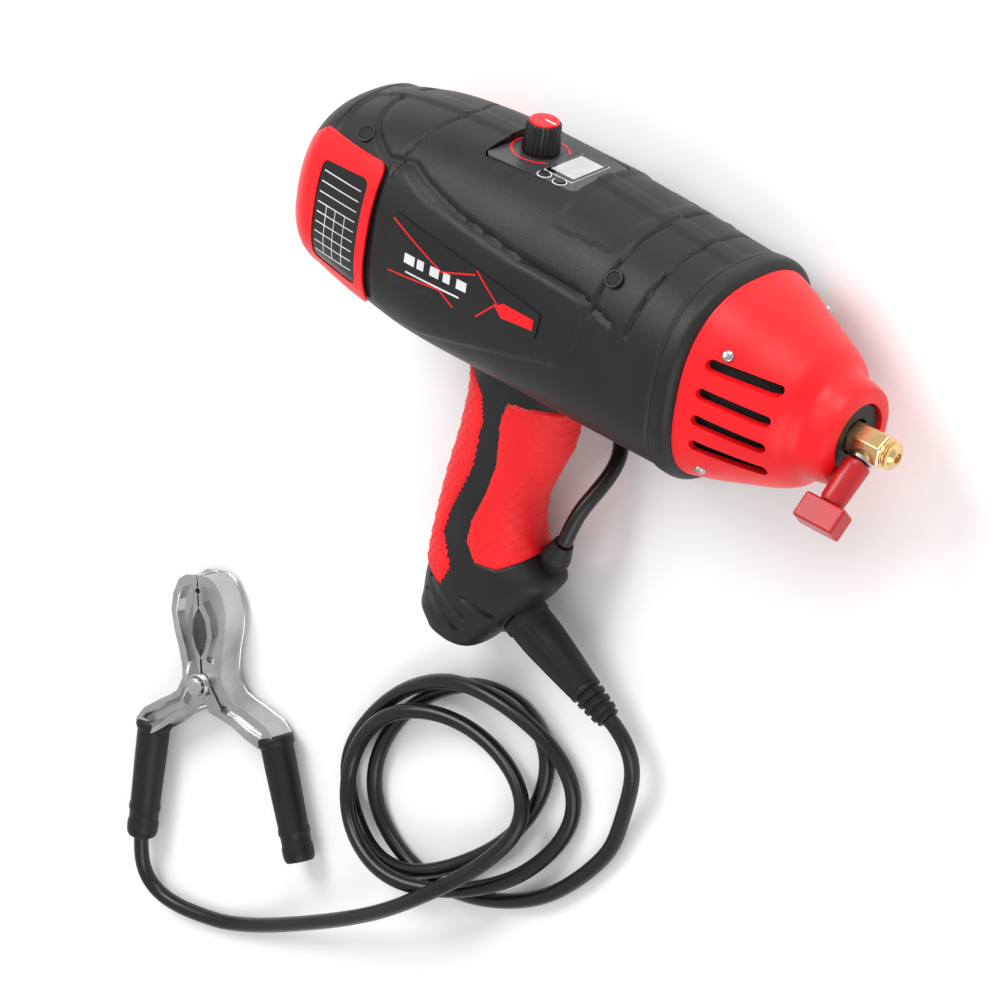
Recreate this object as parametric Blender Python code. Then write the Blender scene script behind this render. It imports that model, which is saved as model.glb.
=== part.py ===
"""Pistol shaped inverter welding gun with an earth lead, an earth clamp and a folded mains lead.

The gun is modelled upright: +X to the nose, +Y to its left, +Z to the control panel, in millimetres
through UNIT. An empty lays it on its left side. Leads and clamp are modelled where they lie.
"""
import math
import bpy
import bmesh
from mathutils import Matrix, Vector

UNIT = 0.001
GAP = 0.3
ROLL = math.radians(9.7)
REST = (89.55, 67.97, 58.77)
FLOOR_SHIFT = (89.55, 67.97)
WALL = 2.6
CABLE_DIAMETER = 8.5
BOW = 2.5
STATIONS = [
    (-248, 48, 55.5, 42), (-235, 50, 60, 45), (-215, 53, 65, 49), (-190, 55.5, 68, 53),
    (-165, 57, 69, 54), (-128, 57, 69, 54), (-90, 57, 68.5, 54), (-45, 57, 63.5, 54), (-11.3, 57, 60, 54)]
HANDLE = [
    ((-172, -36), (-88, -36), 21), ((-160, -64), (-97, -60), 20.5), ((-161, -94), (-100, -90), 20),
    ((-165, -122), (-110, -118), 20), ((-168, -146), (-112, -134), 20), ((-170, -166), (-107, -151), 20.5),
    ((-170.5, -180), (-92, -163), 22.5), ((-171, -190), (-94, -172), 23.5), ((-170.5, -200), (-106, -189), 23.5),
    ((-170, -208), (-119, -205), 23), ((-164, -214), (-130, -219), 21)]

for item in list(bpy.data.objects):
    bpy.data.objects.remove(item, do_unlink=True)
parts = bpy.data.collections.new("inverter_welding_gun")
cutters = bpy.data.collections.new("cutters")
bpy.context.scene.collection.children.link(parts)
bpy.context.scene.collection.children.link(cutters)
stand = bpy.data.objects.new("gun_stand", None)
stand.location = (REST[0] * UNIT, REST[1] * UNIT, REST[2] * UNIT)
stand.rotation_euler = (-(math.pi / 2 - ROLL), 0, 0)
parts.objects.link(stand)

LOOKS = {
    "black": ((0.02, 0.02, 0.022), 0.55, 0), "gloss": ((0.012, 0.012, 0.014), 0.15, 0),
    "red": ((0.62, 0.02, 0.02), 0.35, 0), "grip": ((0.55, 0.02, 0.02), 0.6, 0),
    "grey": ((0.35, 0.36, 0.37), 0.45, 0), "display": ((0.02, 0.03, 0.03), 0.1, 0),
    "steel": ((0.6, 0.6, 0.6), 0.3, 1), "brass": ((0.75, 0.55, 0.22), 0.3, 1),
    "rubber": ((0.02, 0.02, 0.02), 0.6, 0), "board": ((0.03, 0.2, 0.08), 0.5, 0),
    "aluminium": ((0.7, 0.7, 0.72), 0.4, 1), "copper": ((0.7, 0.35, 0.2), 0.35, 1)}


def material(name):
    if name in bpy.data.materials:
        return bpy.data.materials[name]
    colour, rough, metal = LOOKS[name]
    made = bpy.data.materials.new(name)
    made.use_nodes = True
    shader = made.node_tree.nodes["Principled BSDF"]
    shader.inputs["Base Color"].default_value = (*colour, 1)
    shader.inputs["Roughness"].default_value = rough
    shader.inputs["Metallic"].default_value = metal
    return made


def place(name, body, look, on_gun=True, cutter=False):
    """Turn a bmesh in millimetres into an object on the gun or on the floor."""
    bmesh.ops.scale(body, vec=(UNIT, UNIT, UNIT), verts=body.verts)
    bmesh.ops.recalc_face_normals(body, faces=body.faces)
    mesh = bpy.data.meshes.new(name)
    body.to_mesh(mesh)
    body.free()
    made = bpy.data.objects.new(name, mesh)
    (cutters if cutter else parts).objects.link(made)
    if cutter:
        made.hide_render = True
        made.display_type = "WIRE"
    else:
        mesh.materials.append(material(look))
        mesh.shade_smooth()
        mesh.set_sharp_from_angle(angle=math.radians(35))
    if on_gun:
        made.parent = stand
    else:
        made.location = (FLOOR_SHIFT[0] * UNIT, FLOOR_SHIFT[1] * UNIT, 0)
    return made


def loft(rings, inner=None):
    """Join rings of equal length; an inner list of rings makes an open tube with a wall."""
    body = bmesh.new()
    layers = [[body.verts.new(point) for point in ring] for ring in rings]
    if inner:
        layers += [[body.verts.new(point) for point in ring] for ring in reversed(inner)]
        layers.append(layers[0])
    for first, second in zip(layers, layers[1:]):
        count = len(first)
        for index in range(count):
            after = (index + 1) % count
            body.faces.new((first[index], first[after], second[after], second[index]))
    if not inner:
        body.faces.new(layers[0])
        body.faces.new(layers[-1])
    return body


def half_width(x, z, extra=0.0):
    """Half width of the body's outer surface at a station and a height."""
    for left, right in zip(STATIONS, STATIONS[1:]):
        if x <= right[0]:
            break
    share = min(1, max(0, (x - left[0]) / (right[0] - left[0])))
    width, top, bottom = (left[i] + (right[i] - left[i]) * share for i in (1, 2, 3))
    limit = (top if z > 0 else bottom) + extra
    return (width + extra) * max(0.0, 1 - abs(z / limit) ** BOW) ** (1 / BOW)


def section(x, width, top, bottom, count=32, bow=BOW):
    ring = []
    for index in range(count):
        angle = 2 * math.pi * (index + 0.5) / count
        side, rise = math.cos(angle), math.sin(angle)
        height = top if rise > 0 else bottom
        ring.append((x, math.copysign(abs(side) ** (2 / bow), side) * width,
                     math.copysign(abs(rise) ** (2 / bow), rise) * height))
    return ring


def handle_ring(rear, front, half, inset=0.0, count=22):
    middle = Vector(((rear[0] + front[0]) / 2, 0, (rear[1] + front[1]) / 2))
    reach = Vector(((front[0] - rear[0]) / 2, 0, (front[1] - rear[1]) / 2))
    reach = reach * (1 - inset / reach.length)
    ring = []
    for index in range(count):
        angle = 2 * math.pi * index / count
        along, side = math.cos(angle), math.sin(angle)
        along = math.copysign(abs(along) ** (2 / 2.6), along)
        side = math.copysign(abs(side) ** (2 / 2.6), side)
        ring.append(middle + reach * along + Vector((0, (half - inset) * side, 0)))
    return ring


def box(low, high):
    body = bmesh.new()
    bmesh.ops.create_cube(body, size=1)
    for vert in body.verts:
        vert.co = Vector([low[i] + (high[i] - low[i]) * (vert.co[i] + 0.5) for i in range(3)])
    return body


def rod(start, end, radius, radius_end=None, sides=14):
    start, end = Vector(start), Vector(end)
    body = bmesh.new()
    radius_end = radius if radius_end is None else radius_end
    bmesh.ops.create_cone(body, cap_ends=True, segments=sides, radius1=radius, radius2=radius_end,
                          depth=(end - start).length)
    turn = (end - start).to_track_quat("Z", "Y").to_matrix().to_4x4()
    bmesh.ops.transform(body, matrix=Matrix.Translation((start + end) / 2) @ turn, verts=body.verts)
    return body


def turned(start, direction, profile, sides=16, bore=None):
    """Revolve (distance, radius) pairs about a line; a bore gives the hole's pairs."""
    start, direction = Vector(start), Vector(direction).normalized()
    turn = direction.to_track_quat("Z", "Y").to_matrix()
    def rings(pairs):
        return [[start + turn @ Vector((radius * math.cos(2 * math.pi * i / sides),
                                        radius * math.sin(2 * math.pi * i / sides), distance))
                 for i in range(sides)] for distance, radius in pairs]
    return loft(rings(profile), rings(bore) if bore else None)


def outline_prism(points, low, high, axis="Y"):
    """Extrude a flat outline of (x, z) or (x, y) points between two levels."""
    rings = []
    for level in (low, high):
        rings.append([(p[0], level, p[1]) if axis == "Y" else (p[0], p[1], level) for p in points])
    return loft(rings)


def side_patch(corners, side, lift, thickness, across=8, up=6):
    """A thin plate that follows the body's side between four (x, z) corners."""
    def grid(offset):
        rows = []
        for j in range(up + 1):
            v = j / up
            row = []
            for i in range(across + 1):
                u = i / across
                x = (corners[0][0] * (1 - u) + corners[1][0] * u) * (1 - v)
                x += (corners[3][0] * (1 - u) + corners[2][0] * u) * v
                z = (corners[0][1] * (1 - u) + corners[1][1] * u) * (1 - v)
                z += (corners[3][1] * (1 - u) + corners[2][1] * u) * v
                row.append((x, side * (half_width(x, z) + offset), z))
            rows.append(row)
        return rows
    body = bmesh.new()
    low = [[body.verts.new(p) for p in row] for row in grid(lift)]
    high = [[body.verts.new(p) for p in row] for row in grid(lift + thickness)]
    for j in range(up):
        for i in range(across):
            body.faces.new((low[j][i], low[j + 1][i], low[j + 1][i + 1], low[j][i + 1]))
            body.faces.new((high[j][i], high[j][i + 1], high[j + 1][i + 1], high[j + 1][i]))
    rim = [(0, i) for i in range(across)] + [(j, across) for j in range(up)]
    rim += [(up, i) for i in range(across, 0, -1)] + [(j, 0) for j in range(up, 0, -1)]
    for (j, i), (k, m) in zip(rim, rim[1:] + rim[:1]):
        body.faces.new((low[j][i], low[k][m], high[k][m], high[j][i]))
    return body


def combine(target, tool, operation):
    modifier = target.modifiers.new(tool.name, "BOOLEAN")
    modifier.operation = operation
    modifier.object = tool
    modifier.solver = "EXACT"
    return modifier


def cutter(name, body, on_gun=True):
    return place(name, body, None, on_gun, cutter=True)


# housing: one hollow form, split on the centre plane
def housing(name, side):
    shell = place(name, loft([section(*s) for s in STATIONS]), "black")
    combine(shell, handle_outer, "UNION")
    combine(shell, body_hollow, "DIFFERENCE")
    combine(shell, handle_hollow, "DIFFERENCE")
    combine(shell, panel_hole, "DIFFERENCE")
    combine(shell, panel_recess, "DIFFERENCE")
    combine(shell, plug_hole, "DIFFERENCE")
    combine(shell, plug_recess, "DIFFERENCE")
    combine(shell, gland_hole, "DIFFERENCE")
    y_near, y_far = side * 0.15, side * 90
    keep = cutter(name + "_side", box((-300, min(y_near, y_far), -260), (20, max(y_near, y_far), 110)))
    combine(shell, keep, "INTERSECT")
    return shell


handle_outer = cutter("handle_outer", loft([handle_ring(*h) for h in HANDLE]))
hollow_stations = [(-262, 48 - WALL, 55.5 - WALL, 42 - WALL)]
hollow_stations += [(x, a - WALL, t - WALL, b - WALL) for x, a, t, b in STATIONS[1:-1]]
hollow_stations.append((0, 57 - WALL, 60 - WALL, 54 - WALL))
body_hollow = cutter("body_hollow", loft([section(*s) for s in hollow_stations]))
handle_hollow = cutter("handle_hollow", loft([handle_ring(*h, inset=WALL) for h in HANDLE[:-2]]))
panel_hole = cutter("panel_hole", box((-150, -21, 30), (-106, 21, 90)))
panel_recess = cutter("panel_recess", box((-159, -27.5, 61.2), (-101, 27.5, 95)))
PLUG_AXIS = Vector((0.898, 0, -0.44))
PLUG_START = Vector((-112, 0, -192))
plug_hole = cutter("plug_hole", rod(PLUG_START - PLUG_AXIS * 24, PLUG_START + PLUG_AXIS * 20, 11.3))
plug_recess = cutter("plug_recess", rod(PLUG_START + PLUG_AXIS * 2.4, PLUG_START + PLUG_AXIS * 34, 13.4))
CORD_AXIS = Vector((0.35, 0.0, 0.94)).normalized()
CORD_EXIT = Vector((-99, 3, -157.5))
gland_hole = cutter("gland_hole", rod(CORD_EXIT - CORD_AXIS * 14, CORD_EXIT + CORD_AXIS * 12, 7))
housing("housing_right", -1)
housing("housing_left", 1)

# front ring, nose and rear cover
place("front_ring", loft([section(-11, 57, 60, 54), section(-3, 56.5, 59.5, 53.5), section(-0.3, 52.7, 56, 50)],
                         [section(-11, 49, 52, 46), section(-0.3, 47, 50, 45)]), "black")
nose = place("nose_cone", loft(
    [section(0, 52.5, 56, 50), section(13, 50, 52, 48, bow=2.3), section(28, 45.5, 46, 44.5, bow=2.1),
     section(42, 40.5, 40.5, 40.5, bow=2), section(51, 36, 36, 36, bow=2), section(56, 30.5, 30.5, 30.5, bow=2),
     section(58, 29, 29, 29, bow=2), section(70, 26.5, 26.5, 26.5, bow=2), section(73, 22, 22, 22, bow=2)],
    [section(0, 49, 52, 46), section(13, 46.5, 48, 44.5, bow=2.3), section(40, 37, 37, 37, bow=2),
     section(55, 22, 22, 22, bow=2), section(60, 17.5, 17.5, 17.5, bow=2), section(73, 17.5, 17.5, 17.5, bow=2)]), "red")
for side in (-1, 1):
    for number in range(4):
        height = 24 - number * 15.5
        slot = cutter("nose_slot_%d_%d" % (number, side + 1),
                      box((9, min(side * 18, side * 70), height - 3), (43, max(side * 18, side * 70), height + 3)))
        combine(nose, slot, "DIFFERENCE")
rear = place("rear_cover", loft(
    [section(-248.3, 48, 55.5, 42), section(-256, 45.5, 52, 39.5), section(-263, 40, 45.5, 34),
     section(-270, 31, 36, 27), section(-274, 20, 24, 18)],
    [section(-248.3, 45.4, 52.9, 39.4), section(-262, 36, 42, 31), section(-270.5, 12, 14, 11),
     section(-274, 12, 14, 11)]), "red")
place("switch_ring", turned((-274.6, 0, 0), (1, 0, 0), [(0, 10), (4, 10)], 20, [(0, 6.2), (4, 6.2)]), "black")
place("power_button", rod((-276.4, 0, 0), (-268, 0, 0), 5.7, sides=20), "red")
for side, word in ((-1, "right"), (1, "left")):
    place("label_frame_" + word, side_patch([(-247, -30), (-203, -33), (-203, 43), (-247, 38)], side, 0.8, 0.9, 3, 10), "red")
    place("label_plate_" + word, side_patch([(-242, -22), (-209, -25), (-209, 33), (-242, 29)], side, 2.2, 0.5, 2, 8), "gloss")
    place("side_badge_" + word, side_patch([(-184, -10), (-86, 0), (-86, 17), (-184, 29)], side, 0.7, 0.8, 4, 5), "gloss")

# panel, display, knob and buttons
PANEL_Z = 61.5
panel_points = [(-155, -26), (-104, -22), (-102, -19), (-102, 19), (-104, 22), (-155, 26), (-158, 23), (-158, -23)]
panel = place("control_panel", outline_prism(panel_points, PANEL_Z, PANEL_Z + 3.4, axis="Z"), "grey")
window_cut = cutter("window_cut", box((-128.3, -15.3, PANEL_Z + 1.6), (-109.1, 15.3, PANEL_Z + 9)))
combine(panel, window_cut, "DIFFERENCE")
place("display_window", box((-128, -15, PANEL_Z + 1.9), (-109.4, 15, PANEL_Z + 3.7)), "display")
KNOB_X = -143
spindle_cut = cutter("spindle_cut", rod((KNOB_X, 0, 55), (KNOB_X, 0, 72), 3.6))
combine(panel, spindle_cut, "DIFFERENCE")
for name, x in (("button_up", -124), ("button_down", -114)):
    cut = cutter(name + "_cut", rod((x, -19, 55), (x, -19, 72), 3.2))
    combine(panel, cut, "DIFFERENCE")
    place(name, rod((x, -19, PANEL_Z - 2.5), (x, -19, PANEL_Z + 4.6), 2.9, sides=18), "black")
rib_count = 12
knob_rings = []
for z, radius in ((PANEL_Z + 3.9, 9.9), (PANEL_Z + 19, 8.8)):
    knob_rings.append([(KNOB_X + (radius - 0.6 * (i % 2)) * math.cos(math.pi * i / rib_count),
                        (radius - 0.6 * (i % 2)) * math.sin(math.pi * i / rib_count), z) for i in range(2 * rib_count)])
knob = place("knob_body", loft(knob_rings), "black")
combine(knob, cutter("knob_bore", rod((KNOB_X, 0, PANEL_Z), (KNOB_X, 0, PANEL_Z + 14), 3.3)), "DIFFERENCE")
place("knob_cap", rod((KNOB_X, 0, PANEL_Z + 19.3), (KNOB_X, 0, PANEL_Z + 20.6), 7.6, 7.0, 24), "red")
place("potentiometer", turned((KNOB_X, 0, 43.5), (0, 0, 1), [(0, 8), (12, 8), (12, 3), (31, 3)]), "steel")
place("control_board", box((-156, -22, 40), (-104, 22, 42)), "board")

# soft grips over the handle, front and rear
def grip(name, clip):
    cover = place(name, loft([handle_ring(*h, inset=-1.7) for h in HANDLE[:8]]), "grip")
    combine(cover, grip_core, "DIFFERENCE")
    combine(cover, cutter(name + "_clip", outline_prism(clip, -40, 40)), "INTERSECT")
    return cover


grip_core = cutter("grip_core", loft([handle_ring(*h, inset=-GAP) for h in HANDLE]))
grip("grip_front", [(-125, -70), (-82, -66), (-84, -110), (-94, -140), (-112, -143), (-128, -160), (-137, -156),
                    (-138, -145), (-130, -121), (-127, -104)])
grip("grip_rear", [(-190, -66), (-153, -66), (-141, -78), (-141, -113), (-153, -145), (-155, -158), (-155, -173),
                   (-190, -179)])

# electrode chuck and its clamping screw
CHUCK_X = 80.6
SCREW = Vector((0, -0.72, -0.694)).normalized()
CHUCK = Vector((CHUCK_X, 0, 0))
chuck = place("electrode_chuck", turned((34, 0, 0), (1, 0, 0), [(0, 9.3), (57, 9.3)], 6,
                                         [(0, 2.6), (57, 2.6)]), "brass")
combine(chuck, cutter("chuck_cross", rod(CHUCK - SCREW * 1, CHUCK + SCREW * 20, 3.6)), "DIFFERENCE")
place("chuck_tip", turned((91.3, 0, 0), (1, 0, 0), [(0, 7.6), (2, 7.6), (6, 4.6)], 16, [(0, 2.6), (6, 2.6)]), "brass")
place("chuck_insulator", turned((42, 0, 0), (1, 0, 0), [(0, 17.2), (29, 17.2)], 16, [(0, 9.6), (29, 9.6)]), "black")
place("clamp_plunger", rod(CHUCK + SCREW * 3, CHUCK + SCREW * 10.5, 3.3, sides=16), "steel")
place("clamp_lever", turned(CHUCK, SCREW, [(11, 6.4), (12, 7.3), (33, 6.6), (35, 5.4)], 20), "red")
lever_head = place("clamp_head", box((-6, -12, -7), (6, 12, 7)), "red")
turn = SCREW.to_track_quat("Z", "X")
lever_head.location = (CHUCK + SCREW * 42.4) * UNIT
lever_head.rotation_mode = "QUATERNION"
lever_head.rotation_quaternion = turn

# screws in the side
for name, x, z in (("screw_rear_right", -226, 50), ("screw_front_right", -53, 46)):
    y = -half_width(x, z)
    normal = Vector((0, y / 57 ** 2, z / 60 ** 2)).normalized()
    point = Vector((x, y, z))
    place(name, rod(point + normal * 0.9, point + normal * 2.0, 3.6, 3.2, 16), "steel")

# inside: fan, boards, heat sink, capacitors, transformer
place("fan_frame", turned((-244, 0, 4), (1, 0, 0), [(0, 38), (20, 38)], 16, [(0, 34.5), (20, 34.5)]), "black")
fan = bmesh.new()
hub, blades = 12.0, 7
ring_front, ring_back = [], []
for index in range(blades * 4):
    radius = 33.0 if index % 4 in (1, 2) else hub
    angle = 2 * math.pi * index / (blades * 4)
    ring_back.append((-242, radius * math.cos(angle), 4 + radius * math.sin(angle)))
    ring_front.append((-228, radius * math.cos(angle + 0.25), 4 + radius * math.sin(angle + 0.25)))
fan.free()
place("fan_rotor", loft([ring_back, ring_front]), "black")
place("main_board", box((-205, -40, -34), (-30, 40, -32)), "board")
place("heat_sink", box((-205, -34, -31), (-120, -4, 12)), "aluminium")
place("capacitor_rear", rod((-98, -20, -31), (-98, -20, 14), 14), "black")
place("capacitor_front", rod((-66, -20, -31), (-66, -20, 14), 14), "black")
place("transformer", box((-205, 4, -31), (-150, 40, 22)), "copper")
place("output_choke", turned((-100, 20, -31), (0, 0, 1), [(0, 18), (24, 18)], 20, [(0, 8), (24, 8)]), "copper")
place("busbar", box((-28, -9, -3), (33.4, 9, 0)), "copper")

# earth plug on the foot
place("earth_socket", turned(PLUG_START - PLUG_AXIS * 22, PLUG_AXIS, [(0, 10.8), (22.5, 10.8)], 24,
                             [(0, 6.4), (22.5, 6.4)]), "brass")
place("earth_plug_body", turned(PLUG_START, PLUG_AXIS, [(3, 12.0), (6, 12.9), (20, 12.6), (53, 8.9)]), "rubber")
place("earth_plug_pin", turned(PLUG_START, PLUG_AXIS, [(-19, 4.8), (-17, 6.0), (2.7, 6.0)], 20), "brass")
ribs = [(53.3, 8.9)]
for index in range(4):
    ribs += [(54.8 + index * 5, 8.8 - index * 0.5), (56.2 + index * 5, 7.0 - index * 0.3)]
    ribs += [(58.1 + index * 5, 7.0 - index * 0.3)]
ribs += [(74, 6.4)]
place("earth_plug_boot", turned(PLUG_START, PLUG_AXIS, ribs, 20), "rubber")


def gun_to_floor(point):
    x, y, z = point
    return (x, z * math.cos(ROLL) + y * math.sin(ROLL), REST[2] - y * math.cos(ROLL) + z * math.sin(ROLL))


def smooth(points, step, start_dir=None, end_dir=None):
    """Points at an even step along a smooth curve through the route's points."""
    route = [Vector(p) for p in points]
    first = route[0] - Vector(start_dir).normalized() * 20 if start_dir else 2 * route[0] - route[1]
    last = route[-1] + Vector(end_dir).normalized() * 20 if end_dir else 2 * route[-1] - route[-2]
    route = [first] + route + [last]
    fine = []
    for a, b, c, d in zip(route, route[1:], route[2:], route[3:]):
        for index in range(24):
            t = index / 24
            fine.append(0.5 * (2 * b + (c - a) * t + (2 * a - 5 * b + 4 * c - d) * t * t
                               + (3 * b - a - 3 * c + d) * t ** 3))
    fine.append(route[-2])
    lengths = [0.0]
    for a, b in zip(fine, fine[1:]):
        lengths.append(lengths[-1] + (b - a).length)
    count = max(2, round(lengths[-1] / step))
    out, k = [], 0
    for index in range(count + 1):
        want = lengths[-1] * index / count
        while k < len(fine) - 2 and lengths[k + 1] < want:
            k += 1
        share = (want - lengths[k]) / max(1e-9, lengths[k + 1] - lengths[k])
        out.append(fine[k].lerp(fine[k + 1], min(1, share)))
    if start_dir:
        out.insert(1, out[0] + Vector(start_dir).normalized() * 4)
    if end_dir:
        out.insert(-1, out[-1] - Vector(end_dir).normalized() * 4)
    return out


def cable(name, points, diameter, look):
    curve = bpy.data.curves.new(name, "CURVE")
    curve.dimensions = "3D"
    curve.bevel_depth = diameter / 2 * UNIT
    curve.bevel_resolution = 2
    curve.use_fill_caps = True
    spline = curve.splines.new("POLY")
    spline.points.add(len(points) - 1)
    for slot, point in zip(spline.points, points):
        slot.co = (point.x * UNIT, point.y * UNIT, max(point.z, diameter / 2 + 0.1) * UNIT, 1)
    curve.materials.append(material(look))
    made = bpy.data.objects.new(name, curve)
    parts.objects.link(made)
    made.location = (FLOOR_SHIFT[0] * UNIT, FLOOR_SHIFT[1] * UNIT, 0)
    return made


EARTH_ROUTE = [
    (-34, -228, 19), (-26, -243, 15), (-27, -262, 11), (-30, -280, 7), (-34, -301, 5), (-63, -341, 5),
    (-106, -365, 5), (-151, -369, 5), (-184, -350, 5), (-193, -319, 5), (-177, -281, 5), (-145, -253, 5),
    (-109, -249, 5), (-85, -269, 5), (-86, -302, 5), (-107, -337, 6), (-141, -365, 15.5), (-175, -370, 12.5),
    (-205, -350, 5), (-211, -322, 5), (-188, -280, 9.5), (-151, -252, 15.5), (-111, -248, 16.5),
    (-72, -264, 9.5), (-60, -295, 5), (-79, -335, 9.5), (-114, -361, 19.5), (-152, -370, 27.5),
    (-191, -356, 19.5), (-203, -322, 13), (-182, -286, 17), (-148, -274, 10.5), (-107, -280, 10.5),
    (-83, -300, 16.5), (-93, -330, 23), (-122, -365, 33), (-169, -406, 22), (-249, -458, 5), (-290, -471, 5),
    (-317, -471, 7), (-329, -459, 10)]
boot_end = gun_to_floor(PLUG_START + PLUG_AXIS * 74.4)
plug_axis_floor = Vector(gun_to_floor(PLUG_AXIS)) - Vector((0, 0, REST[2]))

# earth clamp, lying on its side
PIVOT = Vector((-309, -331, 0))
JAW_ANGLE = math.radians(110)
ACROSS = Vector((math.sin(JAW_ANGLE), -math.cos(JAW_ANGLE), 0))
ALONG = Vector((math.cos(JAW_ANGLE), math.sin(JAW_ANGLE), 0))
ARM = [(0.4, 61), (9, 60), (16, 52), (19, 40), (16.5, 26), (13, 14), (12.5, 3), (18, -6), (31, -12.5), (44, -19),
       (49.5, -24.5), (48, -30), (40, -31), (31, -26.5), (21, -20.5), (11, -16.5), (4.6, -14.8), (2.8, -9.9),
       (0.4, -5), (0.4, 15), (6, 25), (6.5, 36), (0.4, 47)]
HANDLE_SPREAD = math.radians(12)


def clamp_point(u, v, z):
    return PIVOT + ACROSS * u + ALONG * v + Vector((0, 0, z))


def clamp_arm(name, side, lug_low, lug_high, clear):
    rings = [[clamp_point(side * u, v, z) for u, v in ARM] for z in (3.2, 20.8)]
    arm = place(name, loft(rings), "steel", on_gun=False)
    for number, (low, high) in enumerate(clear):
        tool = cutter("%s_clear_%d" % (name, number),
                      rod(clamp_point(0, 0, low), clamp_point(0, 0, high), 9.4, sides=28), on_gun=False)
        combine(arm, tool, "DIFFERENCE")
    for number, (low, high) in enumerate(zip(lug_low, lug_high)):
        tab = [clamp_point(side * u, v, 0) for u, v in
               [(14, -7)] + [(-7.8 * math.sin(a), 7.8 * math.cos(a) * -1) for a in
                             [math.radians(d) for d in range(0, 181, 20)]] + [(14, 7)]]
        lug = cutter("%s_lug_%d" % (name, number),
                     loft([[p + Vector((0, 0, z)) for p in tab] for z in (low, high)]), on_gun=False)
        combine(arm, lug, "UNION")
    direction = (ACROSS * side * math.sin(HANDLE_SPREAD) - ALONG * math.cos(HANDLE_SPREAD))
    start = clamp_point(side * 45, -26.5, 12)
    tang = cutter(name + "_tang", rod(start - direction * 1, start + direction * 66, 5.4, sides=16), on_gun=False)
    combine(arm, tang, "UNION")
    bore = cutter(name + "_bore", rod(clamp_point(0, 0, 0), clamp_point(0, 0, 30), 3.4, sides=20), on_gun=False)
    combine(arm, bore, "DIFFERENCE")
    return start, direction


left_start, left_dir = clamp_arm("clamp_arm_left", -1, [8.3], [15.7], [(0, 8.3), (15.7, 24)])
right_start, right_dir = clamp_arm("clamp_arm_right", 1, [3.2, 16.1], [7.9, 20.8], [(0, 24)])
for name, start, direction in (("clamp_sleeve_left", left_start, left_dir), ("clamp_sleeve_right", right_start, right_dir)):
    place(name, turned(start, direction, [(8, 9.8), (9, 10.5), (12, 10.5), (13.5, 9.3), (66, 8.8), (70, 7.8)], 20,
                       [(8, 5.9), (70, 5.9)]), "rubber", on_gun=False)
place("clamp_rivet", turned(clamp_point(0, 0, 0.8), (0, 0, 1), [(0, 5.2), (2, 5.2), (2, 3.1), (26.2, 3.1), (26.2, 5), (28, 5)], 20),
      "steel", on_gun=False)
place("clamp_spring", turned(clamp_point(0, 0, 21.2), (0, 0, 1), [(0, 7), (4.6, 7)], 20, [(0, 3.8), (4.6, 3.8)]),
      "steel", on_gun=False)
cable_end = left_start + left_dir * 70.6
earth = [Vector(boot_end)] + [Vector(p) for p in EARTH_ROUTE] + [cable_end]
cable("earth_cable", smooth(earth, 21, plug_axis_floor, -left_dir), CABLE_DIAMETER, "rubber")

# mains lead: gland on the foot, a free stretch, a folded hank and a plug
place("mains_gland", turned(CORD_EXIT, CORD_AXIS, [(-12, 6.6), (3.6, 6.6), (3.6, 8.2), (6, 8.2), (16, 5.4)], 20), "rubber")
gland_end = Vector(gun_to_floor(CORD_EXIT + CORD_AXIS * 16.3))
gland_dir = Vector(gun_to_floor(CORD_AXIS)) - Vector((0, 0, REST[2]))
HANK_LOW, HANK_HIGH = 1.8, 18.8
HANK_X = -289
hank_outline = [(HANK_X + 22 * math.cos(math.radians(d)), 1 + 22 * math.sin(math.radians(d))) for d in range(0, 181, 15)]
hank_outline += [(HANK_X + 22 * math.cos(math.radians(d)), -46 + 22 * math.sin(math.radians(d))) for d in range(180, 361, 15)]
place("mains_hank", outline_prism(hank_outline, HANK_LOW, HANK_HIGH, axis="Z"), "rubber", on_gun=False)
tie = place("hank_tie", box((HANK_X - 23.8, -10, 0.2), (HANK_X + 23.8, -3, 20.4)), "rubber", on_gun=False)
combine(tie, cutter("tie_hole", box((HANK_X - 22.3, -14, 1.5), (HANK_X + 22.3, 1, 19.1)), on_gun=False), "DIFFERENCE")
mains = [gland_end, Vector((-91, -122, 30)), Vector((-87, -106, 21)), Vector((-87, -92, 11)), Vector((-95, -80, 5.5)),
         Vector((-112, -71, 4.6)), Vector((-150, -65, 4.6)), Vector((-190, -60, 4.6)), Vector((-225, -51, 4.6)),
         Vector((-250, -41, 7)), Vector((-266.6, -38, 9.5))]
cable("mains_cord", smooth(mains, 12, gland_dir, (-1, 0, 0)), CABLE_DIAMETER, "rubber")
MAINS_PLUG = Vector((-84, -66, 15.4))
tail = [Vector((-266.6, -19, 9.5)), Vector((-250, -24, 8)), Vector((-225, -36, 5)), Vector((-200, -45, 4.6)),
        Vector((-170, -48, 4.6)), Vector((-140, -50, 4.6)), Vector((-112, -54, 7)), Vector((-98, -61, 12)),
        MAINS_PLUG + Vector((-0.3, 0, 0))]
cable("mains_tail", smooth(tail, 12, (1, 0, 0), (1, 0, 0)), CABLE_DIAMETER, "rubber")
place("mains_plug", turned(MAINS_PLUG, (1, 0, 0), [(0, 6), (10, 9), (14, 15), (34, 15), (38, 13.5)], 20), "rubber", on_gun=False)
for name, side in (("plug_pin_a", -9.5), ("plug_pin_b", 9.5)):
    tip = MAINS_PLUG + Vector((38.3, 0, side))
    place(name, rod(tip, tip + Vector((19, 0, 0)), 2.4, sides=12), "brass", on_gun=False)
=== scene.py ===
"""Looks for the pistol-shaped inverter welding gun with its earth lead and clamp."""
import math
import bmesh
import bpy
from mathutils import Matrix, Vector


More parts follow.
